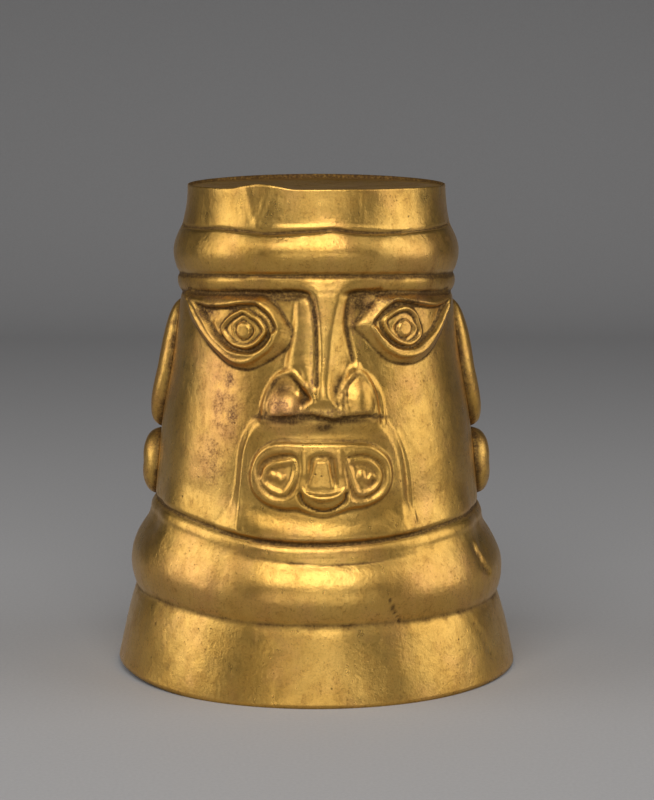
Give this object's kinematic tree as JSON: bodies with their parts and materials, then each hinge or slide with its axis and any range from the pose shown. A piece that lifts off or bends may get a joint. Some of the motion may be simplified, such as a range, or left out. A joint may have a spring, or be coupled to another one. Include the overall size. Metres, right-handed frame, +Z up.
{
  "type": "beaker",
  "caption": "Tall flared beaker of hammered gold sheet with a stylised face in relief, swelling bands and raised ears, standing mouth down with its closed end up.",
  "frame": {"origin": "on the ground under the middle of the flared mouth", "axes": "+Z up from the mouth to the closed end, -Y towards the viewer the face looks at, +X to that viewer's right"},
  "size_m": [0.166, 0.166, 0.2019],
  "materials": {
    "gold_wall": "polished",
    "gold_end": "satin",
    "gold_ears": "polished"
  },
  "bodies": {
    "root": {"vessel_wall": "gold_wall", "end_plate": "gold_end", "ear_left": "gold_ears", "ear_right": "gold_ears", "ear_spool_left": "gold_ears", "ear_spool_right": "gold_ears"}
  },
  "joints": []
}
